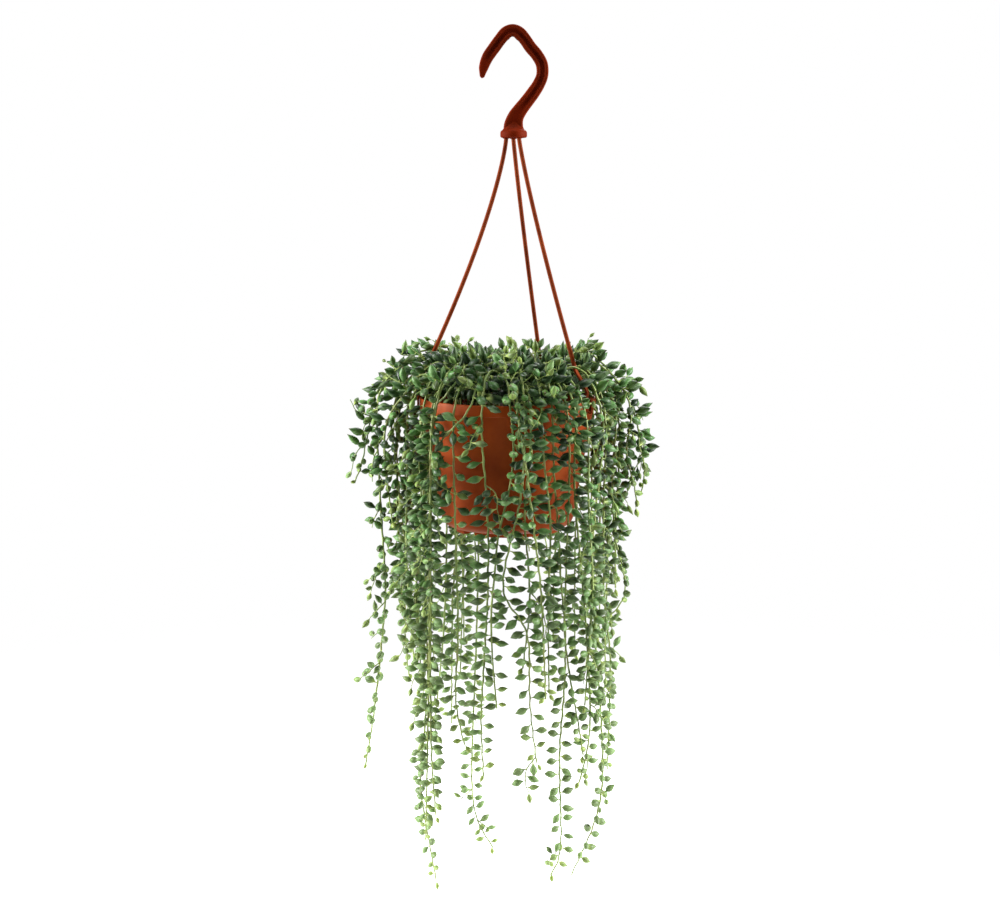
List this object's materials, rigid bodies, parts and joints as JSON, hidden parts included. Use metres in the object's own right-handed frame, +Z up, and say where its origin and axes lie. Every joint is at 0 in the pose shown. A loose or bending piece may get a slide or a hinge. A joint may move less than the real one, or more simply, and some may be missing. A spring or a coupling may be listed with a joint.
{
  "type": "hanging potted string of beads",
  "caption": "Trailing succulent with teardrop leaves in a round plastic hanging pot, with soil, clip-on rods and a hook to hang it by.",
  "frame": {"origin": "seat of the hook, the underside of its top where a rail or wire carries it", "axes": "+Z up along the length, the hook's flat faces look along -Y and +Y, -Y is the side the picture shows, the pot's axis is 3.5 mm towards -X"},
  "size_m": [0.2581, 0.2184, 0.739],
  "materials": {
    "pot_plastic": "matte terracotta-coloured moulded plastic",
    "rod_plastic": "satin red-brown moulded plastic",
    "hook_plastic": "satin dark red-brown moulded plastic",
    "soil": "moist peat and bark growing medium",
    "leaf": "fleshy blue-green leaves with a waxy bloom on yellow-green stems"
  },
  "bodies": {
    "root": {"pot": "pot_plastic", "soil": "soil", "hook": "hook_plastic", "rod_left": "rod_plastic", "rod_right": "rod_plastic", "rod_back": "rod_plastic", "vine_front_01": "leaf", "vine_front_02": "leaf", "vine_front_03": "leaf", "vine_front_04": "leaf", "vine_front_05": "leaf", "vine_front_06": "leaf", "vine_front_07": "leaf", "vine_front_08": "leaf", "vine_front_09": "leaf", "vine_front_10": "leaf", "vine_front_11": "leaf", "vine_front_12": "leaf", "vine_front_13": "leaf", "vine_front_14": "leaf", "vine_front_15": "leaf", "vine_front_16": "leaf", "vine_front_17": "leaf", "vine_front_18": "leaf", "vine_right_01": "leaf", "vine_right_02": "leaf", "vine_right_03": "leaf", "vine_right_04": "leaf", "vine_right_05": "leaf", "vine_right_06": "leaf", "vine_left_01": "leaf", "vine_left_02": "leaf", "vine_left_03": "leaf", "vine_left_04": "leaf", "vine_left_05": "leaf", "vine_left_06": "leaf", "vine_left_07": "leaf", "vine_back_01": "leaf", "vine_back_02": "leaf", "vine_back_03": "leaf", "vine_back_04": "leaf", "vine_back_05": "leaf", "vine_back_06": "leaf", "vine_back_07": "leaf", "vine_back_08": "leaf", "vine_back_09": "leaf", "vine_back_10": "leaf", "vine_back_11": "leaf", "vine_back_12": "leaf", "vine_back_13": "leaf", "vine_back_14": "leaf", "vine_back_15": "leaf", "vine_back_16": "leaf", "vine_back_17": "leaf", "crown_shoot_01": "leaf", "crown_shoot_02": "leaf", "crown_shoot_03": "leaf", "crown_shoot_04": "leaf", "crown_shoot_05": "leaf"}
  },
  "joints": []
}
